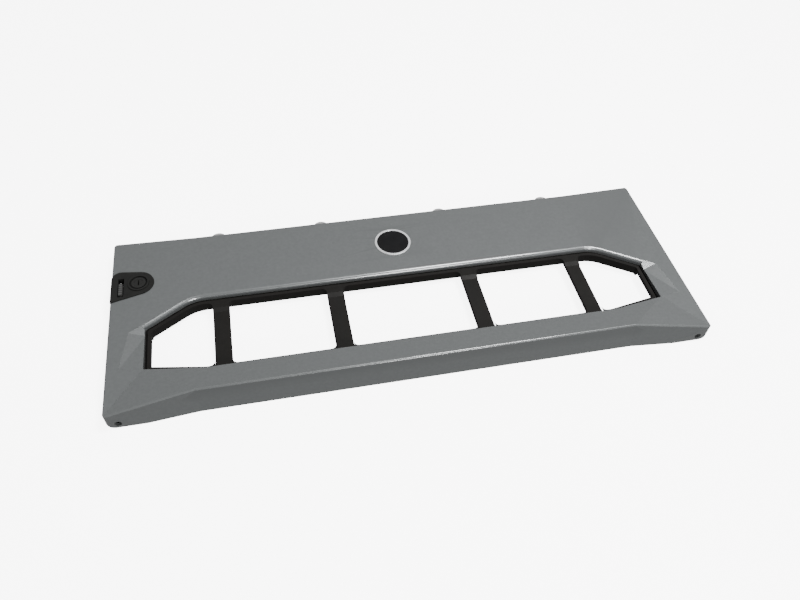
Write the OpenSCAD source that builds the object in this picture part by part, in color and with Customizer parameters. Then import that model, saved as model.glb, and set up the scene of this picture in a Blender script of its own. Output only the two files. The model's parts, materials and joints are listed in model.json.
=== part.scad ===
// Front bezel for a server of four rack units, in a 19-inch rack.
// It lies on its rear rim: X runs along the width, Y up the height of the front, and Z out of its face.
// Heights are counted from the lower edge of the front, depths from the rear rim.

/* [Front shell] */
// Width of the front
front_w = 482.6; // [470:0.1:500]
// Height of the front at its ends
front_h = 177; // [174:0.5:182]
// Depth of the flat face
face_z = 16; // [15.5:0.5:18]
// Thickness of the moulded wall
wall = 2.5; // [2:0.1:2.8]
// Radius of the outline's corners
corner_r = 3; // [2:0.5:6]
// Radius of the front's outer edge
rim_r = 1.2; // [0.8:0.1:1.6]
// Radius of the foot's two lower corners
foot_r = 8; // [5:0.5:9]
// How far the middle of the upper edge is set back
relief = 2; // [1:0.5:3]
// Distance from the ends to the set-back part of the upper edge
relief_run = 69.3; // [50:0.1:90]

/* [Beam] */
// Depth of the beam at its ridge
ridge_z = 24; // [22:0.5:28]
// Distance from the ends to the straight part of the ridge
ridge_run = 67.3; // [50:0.1:80]
// Height of the ridge above the lower edge
ridge_h = 7.2; // [6:0.1:11]
// Height at which the beam leaves the flat face
toe_h = 38.5; // [38:0.5:44]
// How far the middle of the foot is set back from its ends
foot_back = 3.3; // [2:0.1:5]
// Radius along the ridge
ridge_r = 1.6; // [1:0.1:2.4]

/* [Opening] */
// Width of the shell beside the opening
side_w = 27.8; // [26:0.1:32]
// How far its upper corners lie inside its side corners
open_top_run = 37.5; // [30:0.1:50]
// How far the bends of its lower edge lie inside its side corners
open_low_run = 45.5; // [30:0.1:55]
// Height of the middle of its lower edge
open_low_h = 30.3; // [28:0.1:32]
// Height of its lower corners
open_foot_h = 37.8; // [36:0.1:40]
// Height of its side corners
open_side_h = 79.4; // [74:0.1:84]
// Width of the shell above the opening
upper_w = 73.3; // [70:0.1:80]
// Radius of its upper corners
open_r = 32; // [20:1:36]
// Radius of the rounded edge along the top of the opening
roll_r = 3; // [2:0.1:3.5]
// Depth of the dished surface beside the opening, at its upper end
dish_d = 2.6; // [1.6:0.1:3]
// Depth of that surface at its lower end
dish_low_d = 0.6; // [0.3:0.1:1]
// Width of the dished surface at its upper end
dish_top_w = 12; // [8:0.5:14]
// Width of the dished surface at its lower end
dish_w = 18; // [14:0.5:22]

/* [Grille] */
// Width of the groove between the shell and the raised rim
groove_w = 2; // [1.5:0.1:2.5]
// Width of the raised rim
rim_w = 2.9; // [2.5:0.1:4]
// Gap between the grille and the shell
rim_gap = 0.3; // [0.2:0.1:0.8]
// Depth of the rim's front
rim_z = 12.2; // [12:0.1:12.4]
// Depth of the groove's floor
groove_z = 9.8; // [9.5:0.1:10.2]
// Depth of the bars' front
bar_z = 10.8; // [10.4:0.1:11.2]
// Depth of the bars' and the side rims' rear
bar_back_z = 8.4; // [7.6:0.1:8.8]
// Depth of the skirt along the top of the opening
skirt_low_z = 4.2; // [4:0.1:6]
// Thickness of that skirt
skirt_t = 2; // [1.6:0.1:2.4]
// Width of an inner bar
bar_w1 = 14.3; // [10:0.1:16]
// Width of an outer bar
bar_w2 = 13.5; // [10:0.1:16]
// Chamfer along the sides of a bar
bar_bevel = 0.9; // [0.5:0.1:1.2]
// Distance of the inner bars from the middle
bar_x1 = 58.6; // [50:0.1:65]
// Distance of the outer bars from the opening's side corners
bar_in = 59.9; // [55:0.1:68]
// Radius of a cell's corners
cell_r = 4; // [2:0.5:5]
// Distance from the rim to the ramp at a bar's upper end
ramp_start = 5.5; // [4:0.5:8]
// Length of that ramp
ramp_l = 4; // [3:0.5:6]
// Width of the flange that seats behind the shell
flange_w = 6; // [5:0.5:7]
// Thickness of that flange
flange_t = 2.2; // [1.6:0.1:2.4]
// Depth of the seat that the flange lies on
seat_z = 11; // [10.8:0.1:11.2]

/* [Badge] */
// Distance of the badge's centre from the upper edge
badge_down = 37; // [30:0.5:40]
// Outer radius of the badge's ring
badge_r = 16.1; // [13:0.1:18]
// Width of the ring
ring_w = 2; // [1.4:0.1:2.6]
// How far the ring stands out of the face
ring_proud = 0.7; // [0.3:0.1:1]
// How far the disc lies below the ring
disc_below = 0.5; // [0.2:0.1:0.9]
// Depth of the badge's recess
recess_d = 1.2; // [0.8:0.1:1.4]
// Radius of the badge's stud
stud_r = 1.5; // [1:0.1:2]
// Thickness of the push-on nut
push_nut_t = 0.6; // [0.5:0.1:1]
// Side of the push-on nut
push_nut_w = 9; // [8:0.5:12]

/* [Lock insert] */
// Distance of the middle of the insert's round end below the upper edge
insert_drop = 49.9; // [46:0.1:52]
// Distance of that middle from the end of the front
insert_l = 22.3; // [22:0.1:23]
// Radius of its round end
insert_r = 12.5; // [12:0.1:13]
// Angle at which its upper edge rises towards the end of the front
insert_up = 8; // [4:0.5:10]
// Angle at which its lower edge falls towards the end of the front
insert_down = 14; // [10:0.5:16]
// Radius of its outer upper corner
insert_corner_r = 7.5; // [5:0.5:9]
// Gap between the insert and the shell
insert_gap = 0.2; // [0.1:0.05:0.3]
// How far the insert stands out of the face
insert_proud = 0.9; // [0.6:0.1:1.2]
// Width of the flange behind the shell
insert_flange_w = 2.5; // [1.5:0.1:3]
// Depth of the insert's plate at its rear
insert_z = 11; // [10.8:0.1:11.2]
// How far down the end of the front the insert reaches
skirt_z = 6; // [5:0.5:8]

/* [Latch] */
// Distance of the latch from the end of the front
latch_in = 8.1; // [7.8:0.1:8.4]
// Width of the slot
slot_w = 4.8; // [4.4:0.1:5.2]
// Length of the slot
slot_l = 20; // [19:0.1:21]
// How far the slot's middle lies below the insert's middle
slot_below = 3.3; // [2.8:0.1:3.8]
// Free length of the slot above the thumb piece, which is the latch's travel and a gap
slot_free = 6.7; // [4.7:0.1:7]
// Gap below the thumb piece
thumb_gap = 1.6; // [1:0.1:2]
// Width of the thumb piece
thumb_w = 2.8; // [2.2:0.1:3.4]
// How far the thumb piece stands out of the insert
thumb_proud = 1.1; // [0.4:0.1:1.4]
// Thickness of the foot under the plate
foot_t = 2.5; // [2:0.1:2.6]
// Gap round the foot
foot_gap = 0.2; // [0.15:0.05:0.25]
// Thickness of the bolt
bolt_t = 1.3; // [1:0.1:1.4]
// Width of the bolt
bolt_w = 4.4; // [3.5:0.1:4.6]
// How far the bolt reaches out of its channel
bolt_out = 10; // [8:0.5:12]
// Inner width of the channel
channel_w = 7.2; // [7.1:0.1:7.4]
// Wall of the channel
channel_wall = 1.5; // [1.4:0.1:1.8]
// Length of the spring in its seat
spring_l = 9.6; // [9:0.1:9.8]
// Radius of the spring's wire
wire_r = 0.3; // [0.25:0.05:0.35]
// Outer radius of the spring
spring_r = 1.8; // [1.4:0.1:1.9]
// Turns of the spring
spring_turns = 4; // [3:1:5]
// Thickness of the latch's cover
cover_t = 1.6; // [1.2:0.1:1.8]

/* [Lock] */
// Outer radius of the collar round the lock
collar_r = 8.7; // [8.4:0.1:9]
// Width of that collar
collar_w = 1.5; // [1:0.1:2]
// How far the collar stands out of the insert
collar_proud = 0.9; // [0.5:0.1:1.2]
// How far the floor inside the collar lies below the insert's front
well_d = 0.8; // [0.4:0.1:1.2]
// Radius of the plug
plug_r = 3.8; // [3.5:0.1:4]
// Running gap of the plug
plug_gap = 0.05; // [0.03:0.01:0.08]
// Outer radius of the barrel
barrel_r = 5; // [4.8:0.1:5.2]
// Radius of the barrel's head
head_r = 5.8; // [5.6:0.1:6.2]
// Thickness of the barrel's head
head_t = 1.2; // [0.8:0.1:1.4]
// Depth of the barrel's rear end
barrel_z = 3; // [2.9:0.1:3.2]
// Thickness of the nut
nut_t = 2.2; // [1.8:0.1:2.6]
// Width of the nut across its flats
nut_w = 13; // [12.5:0.5:13.5]
// Width of the key's slot
key_w = 1; // [0.8:0.1:1.4]
// Length of the key's slot
key_l = 5.4; // [4.6:0.1:6]
// Depth of the key's slot
key_d = 6; // [4:0.5:7]
// Thickness of the cam
cam_t = 1.2; // [1:0.1:1.3]
// Width of the cam
cam_w = 6; // [5:0.5:7]
// Length of the cam from its axis
cam_l = 15.5; // [14:0.5:16]

/* [Backing frame] */
// Thickness of the sheet
sheet_t = 1; // [0.8:0.1:1.2]
// Depth of the sheet's rear face
sheet_z = 2.5; // [2.3:0.1:2.8]
// Gap between the sheet and the shell's walls
sheet_gap = 2.5; // [1.5:0.5:4]
// Margin of the sheet's window round the opening
window_in = 8; // [7.5:0.5:9]
// Distance from the ends to the narrow part of the sheet
sheet_in = 41; // [39:0.5:46]
// Distance below the upper edge at which the sheet narrows
notch_down = 78; // [76:0.5:82]
// Distance of the screws from the sheet's edges
screw_in = 9; // [7:0.5:10]
// Height of the sheet's folded edges
fold_h = 4; // [3:0.5:4.2]
// Height of the sheet's lower edge
sheet_low_h = 8.5; // [7:0.5:10]

/* [Screws] */
// Radius of a screw's shank
screw_r = 1.2; // [1:0.05:1.3]
// Radius of a screw's head
screw_head_r = 2.3; // [2:0.1:2.5]
// Thickness of a screw's head
screw_head_t = 1.5; // [1.2:0.1:1.6]
// Gap round a screw's shank
screw_gap = 0.05; // [0.03:0.01:0.08]
// Radius of a boss
boss_r = 3; // [2.8:0.1:3.3]
// How far a screw reaches into its boss
screw_l = 7; // [5:0.5:8]
// How far a short screw reaches into its boss
short_l = 3.2; // [2.8:0.1:3.4]

/* [Hooks] */
// Thickness of the hook plate
hook_t = 1.5; // [1.2:0.1:2]
// Width of a hook
hook_w = 12; // [8:0.5:15]
// Distance of the hooks from each other
hook_pitch = 40; // [30:1:45]
// Distance of the hook plate's middle from the upper edge
hook_down = 45; // [42:1:48]
// Distance of a hook screw from the plate's inner edge
hook_screw_in = 7; // [6:0.5:9]
// Width of the hook plate
plate_w = 22; // [20:0.5:24]
// Depth of the face that the hook plate lies on
hook_seat_z = 9.5; // [9:0.1:10]
// Length of a hook's nose
nose_l = 5; // [4:0.5:6]

/* [Pads and holes] */
// Radius of a pad's domed edge
pad_r = 7; // [6:0.5:8]
// How far a pad stands out of the upper edge
pad_out = 3.4; // [2.6:0.1:3.8]
// Depth of a pad's front
pad_z = 14.5; // [13:0.5:14.5]
// Thickness of a pad along the depth
pad_t = 6; // [4:0.5:7]
// Width of a pad's stem
stem_w = 5.5; // [4:0.5:7]
// Gap between a pad's stem and its slot
pad_gap = 0.1; // [0.05:0.05:0.3]
// Radius of the holes at the ends of the foot
peg_r = 2.7; // [2:0.1:3]
// Distance of those holes from the ends of the front
peg_in = 9; // [8.5:0.5:11]
// Depth of those holes' axis
peg_z = 5.2; // [5:0.1:6]
// Radius of a rear bumper
bumper_r = 4.5; // [3.5:0.5:5]
// Gap between a rear bumper and the plane of the rear rim
bumper_gap = 0.3; // [0.2:0.1:0.6]
// Thickness of a rib
rib_t = 1.5; // [1:0.1:1.8]
// Height of a rib
rib_d = 4; // [3:0.5:5]

/* [Hidden] */
$fn = 48;

// Places along the front
half_w = front_w / 2;
pad_over = max(pad_out - relief, 0);
low_y = -(front_h + pad_over) / 2;
high_y = low_y + front_h;
edge_y = high_y - relief;
relief_half = half_w - relief_run;
far = 2 * front_w;
skin_z = face_z - wall;

// Beam: the points that its planes pass through
ridge_half = half_w - ridge_run;
ridge_y = low_y + ridge_h;
toe_y = low_y + toe_h;
foot_y = low_y + foot_back;
open_half = half_w - side_w;
ridge_end = [ridge_half, ridge_y, ridge_z];
toe_end = [open_half, toe_y, face_z];
beam_end = [half_w, low_y, face_z];
foot_end = [ridge_half, foot_y, 0];

// Opening, anticlockwise
open_top_half = open_half - open_top_run;
open_low_half = open_half - open_low_run;
open_top_y = high_y - upper_w;
open_side_y = low_y + open_side_h;
open_low_y = low_y + open_low_h;
open_foot_y = low_y + open_foot_h;
opening_points = [
    [-open_half, open_foot_y], [-open_low_half, open_low_y], [open_low_half, open_low_y], [open_half, open_foot_y],
    [open_half, open_side_y], [open_top_half, open_top_y], [-open_top_half, open_top_y], [-open_half, open_side_y]];
opening_radii = [1.5, 60, 60, 1.5, 2.5, open_r, open_r, 2.5];
front_points = [
    [-half_w, low_y], [half_w, low_y], [half_w, high_y], [relief_half, edge_y],
    [-relief_half, edge_y], [-half_w, high_y]];
front_radii = [corner_r, corner_r, corner_r, 0, 0, corner_r];
lip_w = 7;
lip_z = seat_z;
lip_r = 0.9;
roll_steps = 6;
roll_out = 4;
// Edge rounds run on past their ends, and their axes lie a little nearer to the faces than their radius
round_over = 0.5;
round_in = 0.99;
inner = groove_w + rim_w;
bar_x2 = open_half - bar_in;

// Lock insert and latch
insert_x = -half_w + insert_l;
insert_y = high_y - insert_drop;
front_z = face_z + insert_proud;
latch_x = -half_w + latch_in;
slot_foot = insert_y - slot_below - slot_l / 2;
thumb_l = slot_l - thumb_gap - slot_free;
thumb_y = slot_foot + thumb_gap;
channel_low = slot_foot - 0.5;
foot_low = channel_low + foot_gap;
foot_l = thumb_gap + thumb_l + 0.6;
spring_low = foot_low + foot_l;
channel_high = spring_low + spring_l + 2 * foot_gap;
foot_z = insert_z - foot_gap - foot_t;
bolt_z = foot_z - bolt_t;
cover_z = bolt_z - foot_gap;
channel_left = latch_x - channel_w / 2 + 0.9;
channel_right = channel_left + channel_w;
spring_x = (channel_left + channel_right) / 2;
cover_high = channel_high + 2 * boss_r;
cover_low = channel_low - channel_wall;
cover_screws = [[spring_x, channel_high + boss_r], [channel_right + channel_wall + boss_r + 1, cover_low + boss_r]];

// Lock
well_z = front_z - well_d;
head_z = well_z + head_t;
plug_z = head_z - 0.2;
cam_z = barrel_z - cam_t - 0.1;
plug_low = cam_z + cam_t;
cam_hub_r = 4;
cam_screw_l = 4;

// Backing frame, hooks, screws, pads
badge_y = high_y - badge_down;
sheet_top = sheet_z + sheet_t;
sheet_half = half_w - sheet_in;
sheet_high = edge_y - wall - sheet_gap;
sheet_side = half_w - wall - sheet_gap;
sheet_low = low_y + sheet_low_h;
notch_y = high_y - notch_down;
upper_row = sheet_high - screw_in;
lower_row = sheet_low + screw_in - fold_h / 2;
backing_places = [for (s = [-1, 1]) each [
    [s * (sheet_half - 1.5 * screw_in), upper_row], [s * sheet_half / 3, upper_row],
    [s * (open_half + side_w / 2), (open_foot_y + open_side_y) / 2],
    [s * sheet_half * 0.6, lower_row], [s * (sheet_side - 1.5 * screw_in), lower_row]]];
grille_row = open_top_y + flange_w + boss_r + 0.5;
grille_places = [for (k = [-3, -1, 1, 3]) [k * open_top_half * 0.28, grille_row]];
hook_x = half_w - wall - 1 - plate_w;
hook_y = high_y - hook_down;
hook_places = [for (s = [-1, 1]) [hook_x + hook_screw_in, hook_y + s * hook_pitch / 2]];
barb_w = 0.6;
barb_t = 1.2;
pad_places = [for (k = [-0.63, -0.25, 0.21, 0.63]) k * half_w];
bumper_places = [for (s = [-1, 1]) each [[s * sheet_half * 0.65, upper_row], [s * sheet_half * 0.3, lower_row]]];
rib_low = grille_row + 2 * boss_r;
rib_high = upper_row - 2 * boss_r;
rib_half = sheet_half - screw_in;

painted = [0.46, 0.47, 0.47];
black = [0.12, 0.12, 0.12];
steel = [0.7, 0.71, 0.72];

function unit(v) = v / norm(v);
function turned(v) = [v.y, -v.x];

// The outline with each edge moved out by d
function grown(pts, d) = [for (i = [0 : len(pts) - 1])
    let (p = pts[i],
         a = turned(unit(p - pts[(i + len(pts) - 1) % len(pts)])),
         b = turned(unit(pts[(i + 1) % len(pts)] - p)))
    p + d * (a + b) / (1 + a * b)];

// The outline with each corner rounded to its own radius
function filleted(pts, radii, steps = 6) = [for (i = [0 : len(pts) - 1])
    let (p = pts[i],
         r = radii[i],
         u = unit(pts[(i + len(pts) - 1) % len(pts)] - p),
         v = unit(pts[(i + 1) % len(pts)] - p),
         h = acos(max(-1, min(1, u * v))) / 2,
         c = p + unit(u + v) * r / sin(h),
         side = sign(v.x * u.y - v.y * u.x),
         t = p + u * r / tan(h) - c,
         a = atan2(t.y, t.x))
    each r < 0.01 ? [p] : [for (k = [0 : steps])
        let (g = a + side * k / steps * (180 - 2 * h)) c + r * [cos(g), sin(g)]]];

// Everything behind the plane through a, b and c, moved back by inset
module behind(a, b, c, inset = 0) {
    n = unit(cross(b - a, c - a));
    translate(a) rotate([0, acos(n.z), atan2(n.y, n.x)])
        translate([-far, -far, -2 * far - inset]) cube([2 * far, 2 * far, 2 * far]);
}

function mirrored(p, s) = [s * p.x, p.y, p.z];

// The outer form of the shell, or its inside when inset by the wall
module body_form(inset = 0) {
    base = inset > 0 ? -1 : 0;
    intersection() {
        translate([0, 0, base]) linear_extrude(ridge_z + 1)
            polygon(filleted(grown(front_points, -inset), [for (r = front_radii) max(r - inset, 0)]));
        union() {
            translate([-far, -far, -far]) cube([2 * far, 2 * far, far + face_z - inset]);
            intersection() {
                behind(mirrored(ridge_end, -1), ridge_end, toe_end, inset);
                behind(ridge_end, beam_end, toe_end, inset);
                behind(mirrored(toe_end, -1), mirrored(beam_end, -1), mirrored(ridge_end, -1), inset);
            }
        }
        union() {
            behind(mirrored(foot_end, -1), foot_end, ridge_end, inset);
            behind(foot_end, beam_end, ridge_end, inset);
            behind(mirrored(ridge_end, -1), mirrored(beam_end, -1), mirrored(foot_end, -1), inset);
        }
    }
}

module opening_form(grow, z0, z1) {
    translate([0, 0, z0]) linear_extrude(z1 - z0)
        polygon(filleted(grown(opening_points, grow), [for (r = opening_radii) r + max(grow, -1)]));
}

// One level of the rounded edge: the top of the opening grown by w, run out past its side corners
function roll_level(k) =
    let (w = roll_r * (1 - sin(90 * (1 - k / roll_steps))),
         upper = grown(opening_points, w)[5],
         slope = (open_top_y - open_side_y) / (open_half - open_top_half),
         tip_x = open_half + roll_out * w / roll_r,
         tip = [tip_x, upper.y - (tip_x - upper.x) * slope],
         foot = [open_half, open_side_y - w - 1])
    filleted([foot, tip, upper, [-upper.x, upper.y], [-tip.x, tip.y], [-foot.x, foot.y]],
             [0, 0, open_r + w, open_r + w, 0, 0]);
function roll_depth(k) = face_z - roll_r * (1 - cos(90 * (1 - k / roll_steps)));
module rolled_edge() {
    levels = [for (k = [0 : roll_steps]) [for (p = roll_level(k)) [p.x, p.y, roll_depth(k)]],
              [for (p = roll_level(roll_steps)) [p.x, p.y, ridge_z]]];
    n = len(levels[0]);
    polyhedron([for (l = levels) each l], concat(
        [[for (i = [0 : n - 1]) i]],
        [for (k = [0 : len(levels) - 2], i = [0 : n - 1])
            let (j = (i + 1) % n)
            [k * n + i, (k + 1) * n + i, (k + 1) * n + j, k * n + j]],
        [[for (i = [n - 1 : -1 : 0]) (len(levels) - 1) * n + i]]));
}

// The dished surface beside the opening, on the side s, with the facet that ends the rounded edge
module dish(s) {
    x = open_half - 0.5;
    slope = (open_top_y - open_side_y) / (open_half - open_top_half);
    start = open_side_y + roll_r * norm([1, slope]);
    low = [[x, start, face_z], [open_half + dish_top_w, start - slope * dish_top_w, face_z],
           [open_half + dish_w, toe_y + 2, face_z], [x, toe_y + 0.5, face_z - dish_low_d],
           [x, start - slope * dish_top_w - roll_r, face_z - dish_d]];
    high = [for (p = low) [p.x, p.y, ridge_z]];
    scale([s, 1, 1]) polyhedron(concat(low, high), concat(
        [[0, 4, 1], [4, 2, 1], [4, 3, 2], [5, 6, 7, 8, 9]],
        [for (i = [0 : 4]) let (j = (i + 1) % 5) [i, j, j + 5, i + 5]]));
}

// Material outside a round of radius r along the edge from p to q, between faces with normals n and m
module edge_round(p, q, n, m, r) {
    d = unit(q - p);
    y = cross(d, n);
    c = -round_in * r * (n + m) / (1 + n * m);
    flat_c = [c * n, c * y];
    flat_m = [m * n, m * y];
    multmatrix([[n.x, y.x, d.x, p.x], [n.y, y.y, d.y, p.y], [n.z, y.z, d.z, p.z], [0, 0, 0, 1]])
        translate([0, 0, -round_over]) linear_extrude(norm(q - p) + 2 * round_over) difference() {
            polygon([flat_c + [r + 0.01, 0], -0.01 * unit(flat_c), flat_c + (r + 0.01) * flat_m, flat_c]);
            translate(flat_c) circle(r);
        }
}

module ridge_rounds() {
    top_n = unit(cross(ridge_end - mirrored(ridge_end, -1), toe_end - ridge_end));
    front_n = unit(cross(foot_end - mirrored(foot_end, -1), ridge_end - foot_end));
    side_top = unit(cross(beam_end - ridge_end, toe_end - ridge_end));
    side_front = unit(cross(beam_end - foot_end, ridge_end - foot_end));
    edge_round(mirrored(ridge_end, -1), ridge_end, front_n, top_n, ridge_r);
    edge_round(ridge_end, beam_end, side_front, side_top, ridge_r);
    mirror([1, 0, 0]) edge_round(ridge_end, beam_end, side_front, side_top, ridge_r);
}

// Rounds along the front's outer edge, and under the two lower corners of the foot
module rim_rounds() {
    up = [0, 0, 1];
    raised = [for (p = front_points) [p.x, p.y, face_z]];
    for (i = [1 : 5]) {
        p = raised[i];
        q = raised[(i + 1) % 6];
        edge_round(p, q, concat(turned(unit([q.x - p.x, q.y - p.y])), [0]), up, rim_r);
    }
    for (s = [0, 1])
        mirror([s, 0, 0]) translate([half_w - corner_r, high_y - corner_r, 0]) rotate_extrude(angle = 90)
            translate([corner_r - rim_r, face_z - rim_r]) difference() {
                square(rim_r + 1);
                circle(rim_r);
            }
    fade = 0.3 * foot_r;
    for (s = [0, 1])
        mirror([s, 0, 0]) edge_round([half_w, low_y - 1, 0], [half_w + fade, low_y + 5 * foot_r, -fade],
                                     unit([5 * foot_r, -fade, 0]), [0, 0, -1], foot_r);
}

// Outline of the insert: a round end and a tail that widens towards the end of the front
function insert_tail(r) =
    let (up = [insert_x + r * sin(insert_up), insert_y + r * cos(insert_up)],
         down = [insert_x + r * sin(insert_down), insert_y - r * cos(insert_down)])
    filleted([down, up, [-half_w, up.y + (up.x + half_w) * tan(insert_up)],
              [-half_w, down.y - (down.x + half_w) * tan(insert_down)]],
             [0, 0, insert_corner_r, 0]);
module insert_form(grow, z0, z1) {
    translate([0, 0, z0]) linear_extrude(z1 - z0) {
        translate([insert_x, insert_y]) circle(insert_r + grow, $fn = 96);
        polygon(insert_tail(insert_r + grow));
    }
}

module boss(place, z0) {
    intersection() {
        translate([place.x, place.y, z0]) cylinder(r = boss_r, h = ridge_z);
        body_form(wall / 2);
    }
}
module pilot(place, z0, depth) {
    translate([place.x, place.y, z0 - 1]) cylinder(r = screw_r + screw_gap, h = depth + 1.5);
}
module screw(place, z, depth) {
    translate([place.x, place.y, z]) {
        cylinder(r = screw_r, h = depth);
        difference() {
            translate([0, 0, -screw_head_t]) cylinder(r = screw_head_r, h = screw_head_t);
            for (a = [0, 90])
                rotate(a) translate([-screw_r, -0.3, -screw_head_t - 1]) cube([2 * screw_r, 0.6, 1.6]);
        }
    }
}

module front_shell() color(painted) difference() {
    union() {
        difference() {
            body_form();
            body_form(wall);
        }
        intersection() {
            body_form(wall / 2);
            union() {
                difference() {
                    opening_form(lip_w, lip_z, skin_z + 0.5);
                    opening_form(-1, 0, ridge_z);
                }
                difference() {
                    opening_form(wall, lip_z, ridge_z);
                    opening_form(-1, 0, ridge_z + 1);
                }
                ribs();
                insert_walls();
            }
        }
        for (p = backing_places) boss(p, sheet_top);
        for (p = grille_places) boss(p, seat_z);
        for (p = hook_places) boss(p, hook_seat_z);
    }
    opening_form(0, -1, ridge_z + 1);
    rolled_edge();
    for (s = [-1, 1]) dish(s);
    ridge_rounds();
    rim_rounds();
    insert_form(0, skirt_z, ridge_z);
    translate([0, badge_y, face_z - recess_d]) cylinder(r = badge_r + 0.1, h = 5, $fn = 96);
    translate([0, badge_y, 0]) cylinder(r = stud_r + pad_gap, h = ridge_z);
    for (p = backing_places) pilot(p, sheet_top, screw_l);
    for (p = grille_places) pilot(p, seat_z, short_l);
    for (p = hook_places) pilot(p, hook_seat_z, short_l);
    for (x = pad_places) pad_slot(x);
    for (s = [-1, 1])
        translate([s * (half_w - peg_in), low_y - 1, peg_z]) rotate([-90, 0, 0])
            cylinder(r = peg_r, h = wall + 2);
}

// Ribs behind the upper panel
module ribs() {
    for (y = [rib_low, rib_high])
        translate([-rib_half, y, skin_z - rib_d]) cube([2 * rib_half, rib_t, rib_d + 1]);
    for (k = [-7 : 2 : 7])
        translate([k * rib_half / 8, rib_low, skin_z - rib_d]) cube([rib_t, rib_high - rib_low, rib_d + 1]);
}

// Edge of the shell's cut-out, which the insert's flange lies behind
module insert_walls() {
    difference() {
        insert_form(insert_flange_w + 2, insert_z, skin_z + 0.5);
        insert_form(insert_flange_w + insert_gap, 0, skin_z);
    }
}

module grille_frame() color(black) {
    difference() {
        union() {
            opening_form(flange_w, seat_z - flange_t, seat_z);
            opening_form(-groove_w, bar_back_z, rim_z);
            for (p = grille_places)
                translate([p.x, p.y, seat_z - flange_t]) {
                    cylinder(r = boss_r + 0.5, h = flange_t);
                    translate([-boss_r - 0.5, -boss_r - 1, 0]) cube([2 * boss_r + 1, boss_r + 1, flange_t]);
                }
        }
        difference() {
            opening_form(-rim_gap, groove_z, seat_z + 1);
            opening_form(-groove_w, 0, ridge_z);
        }
        for (p = grille_places) translate([p.x, p.y, 0]) cylinder(r = screw_r + 0.2, h = ridge_z);
        for (c = cells())
            linear_extrude(ridge_z) polygon(cell_points(c));
        for (x = [-bar_x2, -bar_x1, bar_x1, bar_x2]) bar_front(x, abs(x) < bar_x2 ? bar_w1 : bar_w2);
    }
    grille_skirt();
}

// Cells from left to right, each with the places of its two sides
function cells() = let (e = open_half - inner, a = bar_w1 / 2, b = bar_w2 / 2) [
    [-e, -bar_x2 - b], [-bar_x2 + b, -bar_x1 - a], [-bar_x1 + a, bar_x1 - a],
    [bar_x1 + a, bar_x2 - b], [bar_x2 + b, e]];

// The inner edge of the rim, cut to the cell's two sides
function cell_points(c) =
    let (rim = grown(opening_points, -inner), low = rim[1].y, top = rim[5].y)
    c[1] < -bar_x2 ? filleted([rim[0], rim[1], [c[1], low], [c[1], top], rim[6], rim[7]],
                              [1, 20, cell_r, cell_r, open_r - inner, 2])
    : c[0] > bar_x2 ? filleted([[c[0], low], rim[2], rim[3], rim[4], rim[5], [c[0], top]],
                               [cell_r, 20, 1, 2, open_r - inner, cell_r])
    : filleted([[c[0], low], [c[1], low], [c[1], top], [c[0], top]], [cell_r, cell_r, cell_r, cell_r]);

// What lowers the front of the bar at x: a ramp at its upper end and a chamfer along each side
module bar_front(x, w) {
    start = open_top_y - inner - ramp_start;
    low = open_low_y;
    translate([x - w / 2 - 0.01, 0, 0]) rotate([90, 0, 90]) linear_extrude(w + 0.02)
        polygon([[start, rim_z + 0.01], [start - ramp_l, bar_z], [low, bar_z], [low, rim_z + 0.01]]);
    for (s = [-1, 1])
        translate([x + s * w / 2, start - ramp_l, bar_z]) rotate([90, 0, 0])
            linear_extrude(start - ramp_l - open_low_y)
                polygon([[s, 1], [-s * (bar_bevel + 1), 1], [s, -bar_bevel - 1]]);
}

// Skirt along the top of the cells, behind the rim
module grille_skirt() {
    intersection() {
        difference() {
            opening_form(skirt_t - inner, skirt_low_z, bar_back_z + 1);
            opening_form(-inner, 0, ridge_z);
        }
        translate([-open_half, open_side_y - inner, 0]) cube([2 * open_half, far, ridge_z]);
    }
}

module badge_ring() color(steel) translate([0, badge_y, face_z - recess_d]) difference() {
    rotate_extrude($fn = 96) polygon(filleted(
        [[badge_r - ring_w, 0], [badge_r, 0], [badge_r, recess_d + ring_proud],
         [badge_r - ring_w, recess_d + ring_proud]], [0, 0, 0.4, 0.4], 3));
}
module badge_disc() color(black) translate([0, badge_y, face_z - recess_d]) {
    cylinder(r = badge_r - ring_w - 0.05, h = recess_d + ring_proud - disc_below, $fn = 96);
    translate([0, 0, recess_d - wall - 2]) cylinder(r = stud_r, h = wall + 2 - recess_d + 0.1);
}
module badge_nut() color(steel) difference() {
    translate([-push_nut_w / 2, badge_y - push_nut_w / 2, skin_z - push_nut_t])
        cube([push_nut_w, push_nut_w, push_nut_t]);
    translate([0, badge_y, 0]) cylinder(r = stud_r + 0.02, h = face_z);
}

module lock_escutcheon() color(black) difference() {
    union() {
        insert_form(-insert_gap, insert_z, front_z);
        translate([insert_x, insert_y, insert_z]) cylinder(r = collar_r, h = front_z + collar_proud - insert_z);
        intersection() {
            insert_form(insert_flange_w, insert_z, skin_z);
            translate([-half_w + wall + insert_gap, -far, 0]) cube([far, 2 * far, ridge_z]);
        }
        intersection() {
            insert_form(-insert_gap, skirt_z + insert_gap, insert_z + 1);
            translate([-half_w, -far, 0]) cube([wall, 2 * far, ridge_z]);
        }
        channel_walls();
    }
    slot(0, insert_z - 1, ridge_z);
    translate([insert_x, insert_y, 0]) cylinder(r = barrel_r + 0.05, h = ridge_z);
    translate([insert_x, insert_y, well_z]) cylinder(r = collar_r - collar_w, h = ridge_z);
    for (p = cover_screws) pilot(p, cover_z, short_l);
}
module slot(gap, z0, z1) {
    translate([latch_x - slot_w / 2 + gap, slot_foot + gap, z0])
        cube([slot_w - 2 * gap, slot_l - 2 * gap, z1 - z0]);
}
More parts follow.
